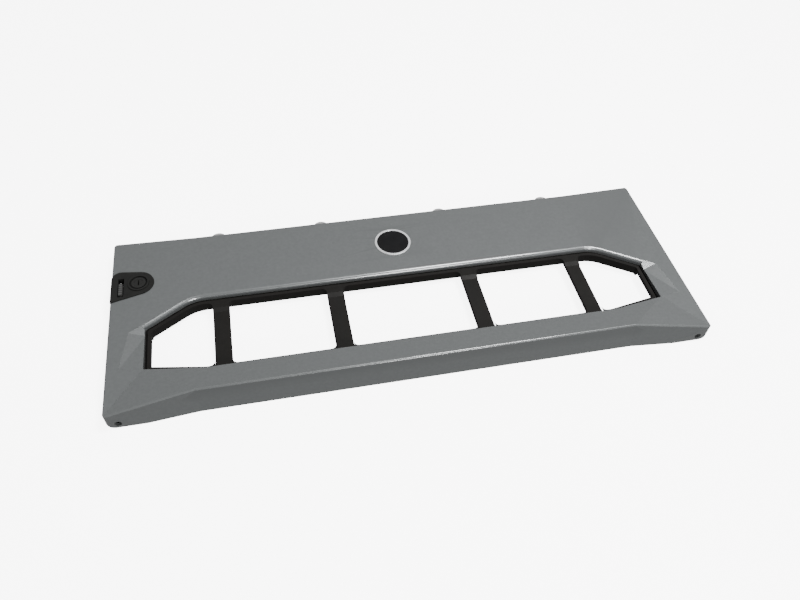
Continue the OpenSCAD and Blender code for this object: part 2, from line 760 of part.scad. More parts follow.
// Walls that guide the latch behind the insert's plate
module channel_walls() {
    h = insert_z - cover_z + 0.1;
    difference() {
        union() {
            translate([channel_right, cover_low, cover_z])
                cube([channel_wall, channel_high - cover_low + 0.5, h]);
            translate([channel_left, cover_low, cover_z]) cube([channel_w + 0.1, channel_low - cover_low, h]);
            translate([channel_left, channel_high, cover_z])
                cube([channel_w + channel_wall, cover_high - channel_high, h]);
            translate([cover_screws[1].x, cover_screws[1].y, cover_z]) cylinder(r = boss_r, h = h);
        }
        translate([latch_x - bolt_w / 2 - foot_gap, cover_low - 1, cover_z - 1])
            cube([bolt_w + 2 * foot_gap, channel_low - cover_low + 2, bolt_t + 2 * foot_gap + 1]);
    }
}

module release_latch() color([0.4, 0.4, 0.4]) {
    difference() {
        translate([latch_x - thumb_w / 2, thumb_y, foot_z + 1])
            cube([thumb_w, thumb_l, front_z + thumb_proud - foot_z - 1]);
        for (k = [1 : 4])
            translate([latch_x - slot_w, thumb_y + k * thumb_l / 5 - 0.3, front_z + thumb_proud - 0.4])
                cube([2 * slot_w, 0.6, 1]);
    }
    translate([channel_left + foot_gap, foot_low, foot_z]) cube([channel_w - 2 * foot_gap, foot_l, foot_t]);
}
module latch_bolt() color(steel) {
    translate([latch_x - bolt_w / 2, foot_low - bolt_out, bolt_z])
        cube([bolt_w, bolt_out + foot_l - 1, bolt_t]);
}
// Coil spring along Y, swept as a helix
module latch_spring() color(steel) {
    rings = 10 * spring_turns;
    sides = 6;
    mid = spring_r - wire_r;
    rise = spring_l - 2 * wire_r;
    pts = [for (i = [0 : rings], j = [0 : sides - 1])
        let (a = 360 * spring_turns * i / rings,
             b = 360 * j / sides,
             r = mid + wire_r * cos(b))
        [spring_x + r * cos(a), spring_low + foot_gap + wire_r + rise * i / rings + wire_r * sin(b),
         foot_z + foot_t - spring_r + r * sin(a)]];
    polyhedron(pts, concat(
        [for (i = [0 : rings - 1], j = [0 : sides - 1])
            let (k = (j + 1) % sides)
            each [[i * sides + j, i * sides + k, (i + 1) * sides + k],
                  [i * sides + j, (i + 1) * sides + k, (i + 1) * sides + j]]],
        [[for (j = [sides - 1 : -1 : 0]) j]],
        [[for (j = [0 : sides - 1]) rings * sides + j]]));
}
module latch_cover() color(black) difference() {
    translate([0, 0, cover_z - cover_t]) union() {
        translate([channel_left, cover_low, 0]) cube([channel_w + channel_wall, cover_high - cover_low, cover_t]);
        translate([channel_right, cover_low, 0])
            cube([cover_screws[1].x - channel_right, 2 * boss_r, cover_t]);
        translate([cover_screws[1].x, cover_screws[1].y, 0]) cylinder(r = boss_r, h = cover_t);
    }
    for (p = cover_screws) translate([p.x, p.y, 0]) cylinder(r = screw_r + 0.1, h = face_z);
}
module latch_screws() color(steel) {
    for (p = cover_screws) screw(p, cover_z - cover_t, cover_t + short_l);
}

module lock_barrel() color(steel) translate([insert_x, insert_y, 0]) difference() {
    union() {
        translate([0, 0, barrel_z]) cylinder(r = barrel_r, h = head_z - barrel_z);
        translate([0, 0, well_z]) cylinder(r = head_r, h = head_t);
    }
    cylinder(r = plug_r + plug_gap, h = ridge_z);
}
module lock_nut() color(steel) translate([insert_x, insert_y, insert_z - nut_t]) difference() {
    cylinder(d = nut_w / cos(30), h = nut_t, $fn = 6);
    translate([0, 0, -1]) cylinder(r = barrel_r + 0.05, h = nut_t + 2);
}
module lock_plug() color(steel) translate([insert_x, insert_y, 0]) difference() {
    translate([0, 0, plug_low]) cylinder(r = plug_r, h = plug_z - plug_low);
    translate([-key_w / 2, -key_l / 2, plug_z - key_d]) cube([key_w, key_l, key_d + 1]);
    cylinder(r = screw_r + screw_gap, h = plug_low + cam_screw_l);
}
module lock_cam() color(steel) translate([insert_x, insert_y, cam_z]) difference() {
    union() {
        cylinder(r = cam_hub_r, h = cam_t);
        translate([-cam_w / 2, 0, 0]) cube([cam_w, cam_l - cam_w / 2, cam_t]);
        translate([0, cam_l - cam_w / 2, 0]) cylinder(d = cam_w, h = cam_t);
    }
    translate([0, 0, -1]) cylinder(r = screw_r + screw_gap, h = cam_t + 2);
}
module cam_screw() color(steel) screw([insert_x, insert_y], cam_z, cam_t + cam_screw_l - 0.5);

module backing_frame() color(steel) difference() {
    union() {
        translate([0, 0, sheet_z]) linear_extrude(sheet_t) polygon([
            [-sheet_side, sheet_low], [sheet_side, sheet_low],
            [sheet_side, notch_y], [sheet_half, notch_y + sheet_side - sheet_half],
            [sheet_half, sheet_high], [-sheet_half, sheet_high],
            [-sheet_half, notch_y + sheet_side - sheet_half], [-sheet_side, notch_y]]);
        translate([-sheet_half + screw_in, sheet_high - sheet_t, sheet_z])
            cube([2 * (sheet_half - screw_in), sheet_t, fold_h + sheet_t]);
        translate([-open_top_half + screw_in, open_top_y + window_in, sheet_z])
            cube([2 * (open_top_half - screw_in), sheet_t, fold_h - 1 + sheet_t]);
    }
    opening_form(window_in, 0, ridge_z);
    for (p = backing_places) translate([p.x, p.y, 0]) cylinder(r = screw_r + 0.2, h = ridge_z);
}
module backing_screws() color(steel) {
    for (p = backing_places) screw(p, sheet_z, sheet_t + screw_l);
}
module grille_screws() color(steel) {
    for (p = grille_places) screw(p, seat_z - flange_t, flange_t + short_l);
}

// Folded plate with two hooks for the right end of the rack
module hook_plate() color(steel) difference() {
    union() {
        translate([hook_x, hook_y - hook_pitch / 2 - hook_w, hook_seat_z - hook_t])
            cube([plate_w, hook_pitch + 2 * hook_w, hook_t]);
        for (s = [-1, 1])
            translate([hook_x + plate_w - hook_t, hook_y + s * hook_pitch / 2 - hook_w / 2, 0.5]) {
                cube([hook_t, hook_w, hook_seat_z - 0.5]);
                translate([-nose_l, 0, 0]) cube([nose_l + hook_t, hook_w, hook_t]);
            }
    }
    for (p = hook_places) translate([p.x, p.y, 0]) cylinder(r = screw_r + 0.2, h = ridge_z);
}
module hook_screws() color(steel) {
    for (p = hook_places) screw(p, hook_seat_z - hook_t, hook_t + short_l);
}

// Domed pads pressed into slots of the upper edge
module pad_slot(x) {
    translate([x - stem_w / 2 - pad_gap, edge_y - wall - 1, pad_z - pad_t + 1 - pad_gap])
        cube([stem_w + 2 * pad_gap, wall + 2, pad_t - 2 + 2 * pad_gap]);
}
module top_pads() color([0.85, 0.85, 0.83]) {
    for (x = pad_places) {
        translate([x, edge_y, pad_z - pad_t]) linear_extrude(pad_t) intersection() {
            translate([0, pad_out - pad_r]) circle(pad_r);
            translate([-pad_r, 0]) square([2 * pad_r, 2 * pad_r]);
        }
        translate([x - stem_w / 2, edge_y - wall, pad_z - pad_t + 1]) cube([stem_w, wall + 0.1, pad_t - 2]);
        translate([x - stem_w / 2 - barb_w, edge_y - wall - barb_t, pad_z - pad_t + 1])
            cube([stem_w + 2 * barb_w, barb_t, pad_t - 2.2]);
    }
}
module rear_bumpers() color(black) {
    for (p = bumper_places)
        translate([p.x, p.y, bumper_gap]) cylinder(r = bumper_r, h = sheet_z - bumper_gap);
}

front_shell();
grille_frame();
badge_ring();
badge_disc();
badge_nut();
lock_escutcheon();
release_latch();
latch_bolt();
latch_spring();
latch_cover();
latch_screws();
lock_barrel();
lock_nut();
lock_plug();
lock_cam();
cam_screw();
backing_frame();
backing_screws();
grille_screws();
hook_plate();
hook_screws();
top_pads();
rear_bumpers();
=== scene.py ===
"""Looks of a four-unit server front bezel that lies on its rear rim, face up."""

import json
import logging
import math
from dataclasses import dataclass, field
from enum import Enum
from typing import Iterable

import bmesh
import bpy
from mathutils import Matrix, Vector

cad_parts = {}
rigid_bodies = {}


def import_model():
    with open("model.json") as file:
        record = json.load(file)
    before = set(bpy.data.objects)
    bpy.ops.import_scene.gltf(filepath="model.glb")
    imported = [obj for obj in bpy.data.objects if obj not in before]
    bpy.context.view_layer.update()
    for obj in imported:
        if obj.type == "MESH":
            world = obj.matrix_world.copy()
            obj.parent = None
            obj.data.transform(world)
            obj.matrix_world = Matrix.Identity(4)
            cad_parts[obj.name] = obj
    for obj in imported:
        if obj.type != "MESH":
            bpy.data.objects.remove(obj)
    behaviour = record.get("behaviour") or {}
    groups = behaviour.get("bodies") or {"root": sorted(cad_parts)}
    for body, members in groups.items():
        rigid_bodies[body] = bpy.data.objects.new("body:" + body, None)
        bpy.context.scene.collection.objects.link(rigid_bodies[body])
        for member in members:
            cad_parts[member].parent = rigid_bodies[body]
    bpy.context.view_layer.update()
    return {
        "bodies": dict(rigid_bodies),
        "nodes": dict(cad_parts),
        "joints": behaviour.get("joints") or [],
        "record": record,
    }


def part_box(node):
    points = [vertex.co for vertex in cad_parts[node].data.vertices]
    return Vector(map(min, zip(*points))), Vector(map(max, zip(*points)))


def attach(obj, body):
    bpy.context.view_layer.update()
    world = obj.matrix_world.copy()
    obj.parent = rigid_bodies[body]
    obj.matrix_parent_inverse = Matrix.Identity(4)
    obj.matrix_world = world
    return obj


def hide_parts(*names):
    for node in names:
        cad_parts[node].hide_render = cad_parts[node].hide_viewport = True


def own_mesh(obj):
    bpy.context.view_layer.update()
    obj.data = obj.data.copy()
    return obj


LOG = logging.getLogger("bezel")
MM = 0.001
Colour = tuple[float, float, float]


class Body(Enum):
    """The bodies that pieces ride on."""

    BEZEL = "bezel"


class Slot(Enum):
    """The record's material slots."""

    BADGE = "badge_black"
    LOCK = "lock_metal"
    STEEL = "steel"
    RUBBER = "rubber"


# ---------------------------------------------------------------- shader parts


def add_node(tree: bpy.types.NodeTree, kind: str, **inputs: object) -> bpy.types.Node:
    """Adds a shader node and sets its unlinked inputs.

    Args:
        tree: The tree that takes the node.
        kind: The node's Blender type name.
        inputs: Values by input name, with spaces written as underscores.

    Returns:
        The new node.
    """
    node = tree.nodes.new(kind)
    for name, value in inputs.items():
        node.inputs[name.replace("_", " ")].default_value = value
    return node


def new_group(name: str, sockets: Iterable[tuple[str, str, str, float]]) -> bpy.types.NodeTree:
    """Makes an empty shader group with its sockets.

    Args:
        name: The group's name.
        sockets: Rows of socket name, direction, type and default value.

    Returns:
        The group, with its input and output nodes placed.
    """
    group = bpy.data.node_groups.new(name, "ShaderNodeTree")
    for label, direction, kind, value in sockets:
        socket = group.interface.new_socket(name=label, in_out=direction, socket_type=kind)
        if direction == "INPUT" and kind == "NodeSocketFloat":
            socket.default_value = value
    group.nodes.new("NodeGroupInput").name = "in"
    group.nodes.new("NodeGroupOutput").name = "out"
    return group


def grain_group() -> bpy.types.NodeTree:
    """Builds the fine grain of a moulded or painted surface.

    Returns:
        A group that puts out a height and a soft mottle, both from 0 to 1.
    """
    group = new_group(
        "surface_grain",
        [
            ("Scale", "INPUT", "NodeSocketFloat", 1500.0),
            ("Mottle Scale", "INPUT", "NodeSocketFloat", 30.0),
            ("Height", "OUTPUT", "NodeSocketFloat", 0.0),
            ("Mottle", "OUTPUT", "NodeSocketFloat", 0.0),
        ],
    )
    links = group.links
    place = group.nodes.new("ShaderNodeTexCoord")
    fine = add_node(group, "ShaderNodeTexNoise", Detail=3.0, Roughness=0.6)
    broad = add_node(group, "ShaderNodeTexNoise", Detail=4.0, Roughness=0.55)
    for noise, source in ((fine, "Scale"), (broad, "Mottle Scale")):
        links.new(place.outputs["Object"], noise.inputs["Vector"])
        links.new(group.nodes["in"].outputs[source], noise.inputs["Scale"])
    links.new(fine.outputs["Fac"], group.nodes["out"].inputs["Height"])
    links.new(broad.outputs["Fac"], group.nodes["out"].inputs["Mottle"])
    return group


def edge_group() -> bpy.types.NodeTree:
    """Builds the mask of convex edges, lightened partly as handling wear and partly as a painted edge
    highlight.

    Returns:
        A group that puts out a mask, 1 on a worn and painted-highlit edge.
    """
    group = new_group(
        "edge_wear_and_highlight_mask",
        [
            ("Width", "INPUT", "NodeSocketFloat", 0.02),
            ("Break Up", "INPUT", "NodeSocketFloat", 400.0),
            ("Mask", "OUTPUT", "NodeSocketFloat", 0.0),
        ],
    )
    links = group.links
    shape = group.nodes.new("ShaderNodeNewGeometry")
    place = group.nodes.new("ShaderNodeTexCoord")
    noise = add_node(group, "ShaderNodeTexNoise", Detail=2.0)
    above = group.nodes.new("ShaderNodeMath")
    above.operation = "SUBTRACT"
    above.inputs[1].default_value = 0.5
    scaled = group.nodes.new("ShaderNodeMath")
    scaled.operation = "DIVIDE"
    scaled.use_clamp = True
    broken = group.nodes.new("ShaderNodeMath")
    broken.operation = "MULTIPLY"
    broken.use_clamp = True
    links.new(shape.outputs["Pointiness"], above.inputs[0])
    links.new(above.outputs[0], scaled.inputs[0])
    links.new(group.nodes["in"].outputs["Width"], scaled.inputs[1])
    links.new(place.outputs["Object"], noise.inputs["Vector"])
    links.new(group.nodes["in"].outputs["Break Up"], noise.inputs["Scale"])
    links.new(scaled.outputs[0], broken.inputs[0])
    links.new(noise.outputs["Fac"], broken.inputs[1])
    links.new(broken.outputs[0], group.nodes["out"].inputs["Mask"])
    return group


def shared_groups() -> dict[str, bpy.types.NodeTree]:
    """Builds the groups that several finishes use."""
    return {"grain": grain_group(), "edge": edge_group()}


@dataclass(frozen=True)
class Finish:
    """A surface finish, made into one material.

    Attributes:
        name: The material's name.
        base: Linear base colour.
        shade: Linear colour that the mottle mixes in.
        mottle: How much of the shade shows.
        roughness: Mean roughness.
        roughness_swing: How far the mottle moves the roughness.
        metallic: Metallic value.
        grain_scale: Size of the fine grain, in cells a metre.
        grain_depth: Depth of the fine grain in metres.
        mottle_scale: Size of the mottle, in cells a metre.
        edge_wear_and_highlight: How much lighter convex edges are painted, partly as wear and partly as a
            painted edge highlight.
        coat: Weight of a clear coat.
        coat_roughness: Roughness of that coat.
        specular: Specular level.
    """

    name: str
    base: Colour
    shade: Colour
    mottle: float = 0.3
    roughness: float = 0.5
    roughness_swing: float = 0.08
    metallic: float = 0.0
    grain_scale: float = 2500.0
    grain_depth: float = 0.00002
    mottle_scale: float = 40.0
    edge_wear_and_highlight: float = 0.0
    coat: float = 0.0
    coat_roughness: float = 0.2
    specular: float = 0.5

    def material(self, groups: dict[str, bpy.types.NodeTree]) -> bpy.types.Material:
        """Builds the node tree of this finish.

        Args:
            groups: The shared shader groups.

        Returns:
            The material.
        """
        made = bpy.data.materials.new(self.name)
        made.use_nodes = True
        tree = made.node_tree
        tree.nodes.clear()
        links = tree.links
        out = tree.nodes.new("ShaderNodeOutputMaterial")
        shader = tree.nodes.new("ShaderNodeBsdfPrincipled")
        shader.inputs["Metallic"].default_value = self.metallic
        shader.inputs["Coat Weight"].default_value = self.coat
        shader.inputs["Coat Roughness"].default_value = self.coat_roughness
        shader.inputs["Specular IOR Level"].default_value = self.specular
        links.new(shader.outputs[0], out.inputs[0])

        grain = tree.nodes.new("ShaderNodeGroup")
        grain.node_tree = groups["grain"]
        grain.inputs["Scale"].default_value = self.grain_scale
        grain.inputs["Mottle Scale"].default_value = self.mottle_scale

        colour = tree.nodes.new("ShaderNodeMix")
        colour.data_type = "RGBA"
        colour.inputs["A"].default_value = (*self.base, 1.0)
        colour.inputs["B"].default_value = (*self.shade, 1.0)
        amount = tree.nodes.new("ShaderNodeMapRange")
        amount.inputs["From Min"].default_value = 0.3
        amount.inputs["From Max"].default_value = 0.7
        amount.inputs["To Max"].default_value = self.mottle
        links.new(grain.outputs["Mottle"], amount.inputs["Value"])
        links.new(amount.outputs[0], colour.inputs["Factor"])
        shown = colour.outputs["Result"]
        # Convex edges are painted lighter: partly handling wear, partly a painted edge highlight.
        if self.edge_wear_and_highlight > 0.0:
            shown = self._worn_and_highlit_edges(tree, shown, groups)
        links.new(shown, shader.inputs["Base Color"])

        rough = tree.nodes.new("ShaderNodeMapRange")
        rough.inputs["From Min"].default_value = 0.3
        rough.inputs["From Max"].default_value = 0.7
        rough.inputs["To Min"].default_value = self.roughness - self.roughness_swing
        rough.inputs["To Max"].default_value = self.roughness + self.roughness_swing
        links.new(grain.outputs["Mottle"], rough.inputs["Value"])
        links.new(rough.outputs[0], shader.inputs["Roughness"])

        bump = tree.nodes.new("ShaderNodeBump")
        bump.inputs["Strength"].default_value = 1.0
        bump.inputs["Distance"].default_value = self.grain_depth
        links.new(grain.outputs["Height"], bump.inputs["Height"])
        links.new(bump.outputs[0], shader.inputs["Normal"])
        return made

    def _worn_and_highlit_edges(
        self,
        tree: bpy.types.NodeTree,
        shown: bpy.types.NodeSocket,
        groups: dict[str, bpy.types.NodeTree],
    ) -> bpy.types.NodeSocket:
        """Lightens the convex edges, partly as wear and partly as a painted edge highlight.

        Args:
            tree: The material's tree.
            shown: The colour so far.
            groups: The shared shader groups.

        Returns:
            The socket of the colour with its edges painted lighter.
        """
        edge = tree.nodes.new("ShaderNodeGroup")
        edge.node_tree = groups["edge"]
        mix = tree.nodes.new("ShaderNodeMix")
        mix.data_type = "RGBA"
        # The lighter colour of the edges, as wear and as a painted highlight.
        mix.inputs["B"].default_value = (*[min(1.0, c * (1.0 + self.edge_wear_and_highlight)) for c in self.base], 1.0)
        tree.links.new(edge.outputs["Mask"], mix.inputs["Factor"])
        tree.links.new(shown, mix.inputs["A"])
        return mix.outputs["Result"]


PAINT = Finish(
    "silver_grey_paint", (0.103, 0.109, 0.11), (0.094, 0.1, 0.101), mottle=0.5, roughness=0.36,
    roughness_swing=0.03, metallic=0.3, grain_scale=3200.0, grain_depth=0.000012, mottle_scale=60.0,
    edge_wear_and_highlight=0.25, coat=0.75, coat_roughness=0.12)
# Its edge lightening paints the grille rim's edges lighter, partly as wear and partly as a painted highlight.
GRILLE_BLACK = Finish(
    "grille_black", (0.009, 0.0085, 0.008), (0.012, 0.0115, 0.011), roughness=0.5, roughness_swing=0.06,
    grain_scale=2400.0, grain_depth=0.00002, mottle_scale=90.0, edge_wear_and_highlight=0.4, specular=0.08)
INSERT_BLACK = Finish(
    "insert_black", (0.012, 0.012, 0.0115), (0.017, 0.017, 0.0165), roughness=0.46, grain_scale=2600.0,
    grain_depth=0.00003, mottle_scale=140.0, edge_wear_and_highlight=0.3, specular=0.12)
LATCH_GREY = Finish(
    "latch_grey", (0.045, 0.045, 0.044), (0.035, 0.035, 0.035), roughness=0.5, grain_scale=2600.0,
    mottle_scale=200.0, edge_wear_and_highlight=0.4, specular=0.2)
BADGE_BLACK = Finish(
    "badge_black", (0.006, 0.006, 0.0065), (0.009, 0.009, 0.0095), roughness=0.35, grain_scale=5000.0,
    grain_depth=0.000004, mottle_scale=120.0, specular=0.1, coat=0.15, coat_roughness=0.12)
BRIGHT = Finish(
    "badge_bright", (0.86, 0.87, 0.88), (0.76, 0.77, 0.78), roughness=0.3, metallic=0.6, grain_scale=6000.0,
    grain_depth=0.000003, mottle_scale=160.0)
LOCK_DARK = Finish(
    "lock_dark_plate", (0.014, 0.014, 0.0135), (0.009, 0.009, 0.009), roughness=0.42, specular=0.12,
    grain_scale=5000.0, grain_depth=0.000005, mottle_scale=260.0, edge_wear_and_highlight=0.5)
STEEL = Finish(
    "plated_steel", (0.52, 0.53, 0.54), (0.38, 0.39, 0.4), roughness=0.32, metallic=1.0, grain_scale=4000.0,
    grain_depth=0.000006, mottle_scale=300.0, edge_wear_and_highlight=0.2)
ZINC = Finish(
    "zinc_sheet", (0.48, 0.5, 0.52), (0.33, 0.35, 0.37), mottle=0.8, roughness=0.38, roughness_swing=0.1,
    metallic=1.0, grain_scale=1800.0, grain_depth=0.000008, mottle_scale=85.0, edge_wear_and_highlight=0.2)
PAD_MILK = Finish(
    "milky_pad", (0.3, 0.3, 0.3), (0.24, 0.24, 0.24), roughness=0.4, grain_scale=2500.0, mottle_scale=150.0)
RUBBER = Finish(
    "black_rubber", (0.006, 0.006, 0.006), (0.012, 0.012, 0.012), roughness=0.8, grain_scale=1800.0,
    grain_depth=0.00004, mottle_scale=120.0, specular=0.1)


# ---------------------------------------------------------------- stage and camera


@dataclass
class Studio:
    """Pale floor, soft light and the camera.

    Attributes:
        azimuth: Camera's turn about Z, in degrees.
        elevation: Camera's angle above the floor, in degrees.
        roll: Camera's roll, in degrees.
        target: The point that the camera looks at, in metres.
        distance: From the target to the camera, in metres.
        lens: Focal length in millimetres on a 36 mm sensor.
        floor_glow: How bright the white floor looks by itself; it does not light the part.
        sky: Strength of the even light from all round.
        sensor: Width of the camera's sensor, in millimetres.
        near: Nearest distance that the camera sees.
        floor_half: Half the side of the floor, in metres.
        key_place: Where the key light stands, in metres.
        key_size: Side of the key light.
        key_power: Its power in watts.
        front_place: Where the front light stands.
        front_size: Side of the front light.
        front_power: Its power in watts.
        peg_x: Middle of the painted shadow under a peg hole, from the middle of the part.
        peg_y: Its place across the part.
        peg_half: Half its side.
        peg_lift: Its height above the floor.
    """

    azimuth: float = -14.09
    elevation: float = 49.65
    roll: float = 3.25
    target: Vector = field(default_factory=lambda: Vector((-6.01, -12.04, 10.0)) * MM)
    distance: float = 597.87 * MM
    lens: float = 31.823
    floor_glow: float = 6.5
    sky: float = 0.42
    sensor: float = 36.0
    near: float = 10.0 * MM
    floor_half: float = 6.0
    key_place: Colour = (0.36, -0.02, 1.2)
    key_size: float = 0.36
    key_power: float = 23.0
    front_place: Colour = (0.25, -1.2, 0.6)
    front_size: float = 0.3
    front_power: float = 12.0
    peg_x: float = 232.3 * MM
    peg_y: float = -80.5 * MM
    peg_half: float = 6.5 * MM
    peg_lift: float = 0.05 * MM

    def axes(self) -> tuple[Vector, Vector, Vector]:
        """The camera's right, up and back directions."""
        a = math.radians(self.azimuth)
        e = math.radians(self.elevation)
        r = math.radians(self.roll)
        back = Vector((math.sin(a) * math.cos(e), -math.cos(a) * math.cos(e), math.sin(e)))
        right = Vector((math.cos(a), math.sin(a), 0.0))
        up = back.cross(right)
        return right * math.cos(r) + up * math.sin(r), up * math.cos(r) - right * math.sin(r), back

    def camera(self) -> None:
        """Places the camera."""
        right, up, back = self.axes()
        data = bpy.data.cameras.new("camera")
        data.lens = self.lens
        data.sensor_width = self.sensor
        data.clip_start = self.near
        cam = bpy.data.objects.new("camera", data)
        turn = Matrix((right, up, back)).transposed().to_4x4()
        cam.matrix_world = Matrix.Translation(self.target + back * self.distance) @ turn
        bpy.context.scene.collection.objects.link(cam)
        bpy.context.scene.camera = cam

    def area(self, name: str, place: Colour, size: float, power: float, aim: Colour = (0, 0, 0)) -> None:
        """Adds a soft square light.

        Args:
            name: The light's name.
            place: Where it stands, in metres.
            size: Side of the square, in metres.
            power: Its power in watts.
            aim: The point that it faces.
        """
        data = bpy.data.lights.new(name, "AREA")
        data.size = size
        data.energy = power
        lamp = bpy.data.objects.new(name, data)
        lamp.location = place
        lamp.rotation_euler = (Vector(aim) - Vector(place)).to_track_quat("-Z", "Y").to_euler()
        bpy.context.scene.collection.objects.link(lamp)

    def floor(self) -> None:
        """Lays the pale floor and the painted shadows under the peg holes."""
        shape = bmesh.new()
        bmesh.ops.create_grid(shape, x_segments=1, y_segments=1, size=self.floor_half)
        mesh = bpy.data.meshes.new("floor")
        shape.to_mesh(mesh)
        shape.free()
        made = bpy.data.materials.new("pale_floor")
        made.use_nodes = True
        shader = made.node_tree.nodes["Principled BSDF"]
        shader.inputs["Base Color"].default_value = (0.95, 0.95, 0.95, 1.0)
        shader.inputs["Roughness"].default_value = 0.7
        shader.inputs["Emission Color"].default_value = (1.0, 1.0, 1.0, 1.0)
        shader.inputs["Emission Strength"].default_value = self.floor_glow
        shader.inputs["Specular IOR Level"].default_value = 0.2
        mesh.materials.append(made)
        floor = bpy.data.objects.new("floor", mesh)
        bpy.context.scene.collection.objects.link(floor)
        floor.visible_diffuse = False
        floor.visible_glossy = False
        # A painted shadow lies under each peg hole.
        for side in (-1.0, 1.0):
            self.shade(side)

    def shade(self, side: float) -> None:
        """Lays a dark patch of painted shadow on the floor under a peg hole, so the glowing floor does not
        show through the hole.

        Args:
            side: -1 for the left hole, 1 for the right one.
        """
        shape = bmesh.new()
        place = Matrix.Translation((side * self.peg_x, self.peg_y, self.peg_lift))
        bmesh.ops.create_grid(shape, x_segments=1, y_segments=1, size=self.peg_half, matrix=place)
        mesh = bpy.data.meshes.new("painted_peg_shadow")
        shape.to_mesh(mesh)
        shape.free()
        made = bpy.data.materials.new("painted_peg_shadow")
        made.use_nodes = True
        # Near-black colour: painted shadow under the peg hole.
        made.node_tree.nodes["Principled BSDF"].inputs["Base Color"].default_value = (0.01, 0.01, 0.01, 1.0)
        mesh.materials.append(made)
        patch = bpy.data.objects.new("painted_peg_shadow", mesh)
        bpy.context.scene.collection.objects.link(patch)

    def light(self) -> None:
        """Sets the world and the lights."""
        world = bpy.data.worlds.new("studio")
        world.use_nodes = True
        world.node_tree.nodes["Background"].inputs["Color"].default_value = (1.0, 1.0, 1.0, 1.0)
        world.node_tree.nodes["Background"].inputs["Strength"].default_value = self.sky
        bpy.context.scene.world = world
        self.area("key", self.key_place, self.key_size, self.key_power)
        self.area("front", self.front_place, self.front_size, self.front_power)

    def build(self) -> None:
        """Builds the whole stage."""
        self.camera()
        self.floor()
        self.light()
        LOG.info("studio: camera, floor and lights")


# ---------------------------------------------------------------- mesh tools

# Vertices nearer than this are one, in metres.
MERGE = 1e-6
# Steps in one turn of a wound wire.
COIL_STEPS = 28


def lathe(profile: Iterable[tuple[float, float]], centre: Vector, steps: int = 96) -> bmesh.types.BMesh:
    """Turns a closed profile round an upright axis.

    Args:
        profile: Radius and height of each corner, in metres, in order.
        centre: A point of the axis.
        steps: Steps of the full turn.

    Returns:
        The turned shape.
    """
    shape = bmesh.new()
    verts = [shape.verts.new((centre.x + r, centre.y, z)) for r, z in profile]
    edges = [shape.edges.new((a, b)) for a, b in zip(verts, verts[1:] + verts[:1])]
    bmesh.ops.spin(
        shape, geom=verts + edges, cent=centre, axis=(0.0, 0.0, 1.0), angle=math.tau, steps=steps,
        use_merge=True)
    bmesh.ops.remove_doubles(shape, verts=shape.verts, dist=MERGE)
    bmesh.ops.recalc_face_normals(shape, faces=shape.faces)
    return shape


def coil(
    centre: Vector, axis: Vector, radius: float, wire: float, pitch: float, turns: float, sides: int = 8
) -> bmesh.types.BMesh:
    """Winds a round wire into a helix.

    Args:
        centre: Start of the coil's axis, in metres.
        axis: Unit direction of the axis.
        radius: Radius of the wire's middle line.
        wire: Radius of the wire.
        pitch: Rise of one turn.
        turns: Number of turns.
        sides: Sides of the wire.

    Returns:
        The closed coil.
    """
    shape = bmesh.new()
    out = axis.orthogonal().normalized()
    ring = bmesh.ops.create_circle(shape, cap_ends=False, radius=wire, segments=sides)["verts"]
    turn = Matrix((out, axis, out.cross(axis))).transposed().to_4x4()
    bmesh.ops.transform(shape, matrix=Matrix.Translation(centre + out * radius) @ turn, verts=ring)
    steps = round(COIL_STEPS * turns)
    bmesh.ops.spin(
        shape, geom=list(shape.verts) + list(shape.edges), cent=centre, axis=axis, angle=math.tau * turns,
        dvec=axis * (pitch * turns / steps), steps=steps)
    bmesh.ops.holes_fill(shape, edges=[e for e in shape.edges if e.is_boundary])
    bmesh.ops.recalc_face_normals(shape, faces=shape.faces)
    return shape


# ---------------------------------------------------------------- pieces


@dataclass
class Workshop:
    """Dresses the carried-over nodes and adds new pieces.

    Attributes:
        frame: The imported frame.
        groups: The shared shader groups.
        materials: Materials by finish name.
    """

    frame: dict
    groups: dict[str, bpy.types.NodeTree]
    materials: dict[str, bpy.types.Material] = field(default_factory=dict)

    def material(self, finish: Finish) -> bpy.types.Material:
        """The material of a finish, made once."""
        if finish.name not in self.materials:
            self.materials[finish.name] = finish.material(self.groups)
        return self.materials[finish.name]

    def dress(self, finish: Finish, *nodes: str) -> None:
        """Gives carried-over nodes their finish.

        Args:
            finish: The finish.
            nodes: The nodes' names.
        """
        for node in nodes:
            piece = self.frame["nodes"][node]
            piece.data.materials.clear()
            piece.data.materials.append(self.material(finish))
            LOG.info("%s: dressed as %s", node, finish.name)

    def add(
        self, name: str, shape: bmesh.types.BMesh, body: Body, finish: Finish, slot: Slot, smooth: float = 40.0
    ) -> bpy.types.Object:
        """Makes a new piece that rides on a body.

        Args:
            name: The piece's name.
            shape: Its shape, in place; it is freed.
            body: The body that it rides on.
            finish: Its finish.
            slot: The record's slot of that finish; not used.
            smooth: Edges below this angle, in degrees, are shaded smooth.

        Returns:
            The piece's object.
        """
        for face in shape.faces:
            face.smooth = True
        for edge in shape.edges:
            edge.smooth = edge.is_manifold and edge.calc_face_angle(0.0) < math.radians(smooth)
        mesh = bpy.data.meshes.new(name)
        shape.to_mesh(mesh)
        shape.free()
        mesh.materials.append(self.material(finish))
        piece = bpy.data.objects.new(name, mesh)
        bpy.context.scene.collection.objects.link(piece)
        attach(piece, body.value)
        LOG.info("%s: %d faces on %s", name, len(mesh.polygons), body.value)
        return piece


def middle(node: str) -> Vector:
    """The middle of a node's box."""
    low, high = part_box(node)
    return (Vector(low) + Vector(high)) / 2.0


@dataclass
class Shell:
    """Moulded front, painted silver grey."""

    shop: Workshop

    def build(self) -> None:
        """Dresses the shell."""
        self.shop.dress(PAINT, "front_shell")


@dataclass
class Grille:
    """Black five-cell grille behind the opening, with its screws."""

    shop: Workshop

    def build(self) -> None:
        """Dresses the grille."""
        self.shop.dress(GRILLE_BLACK, "grille_frame")
        self.shop.dress(STEEL, "grille_screws")


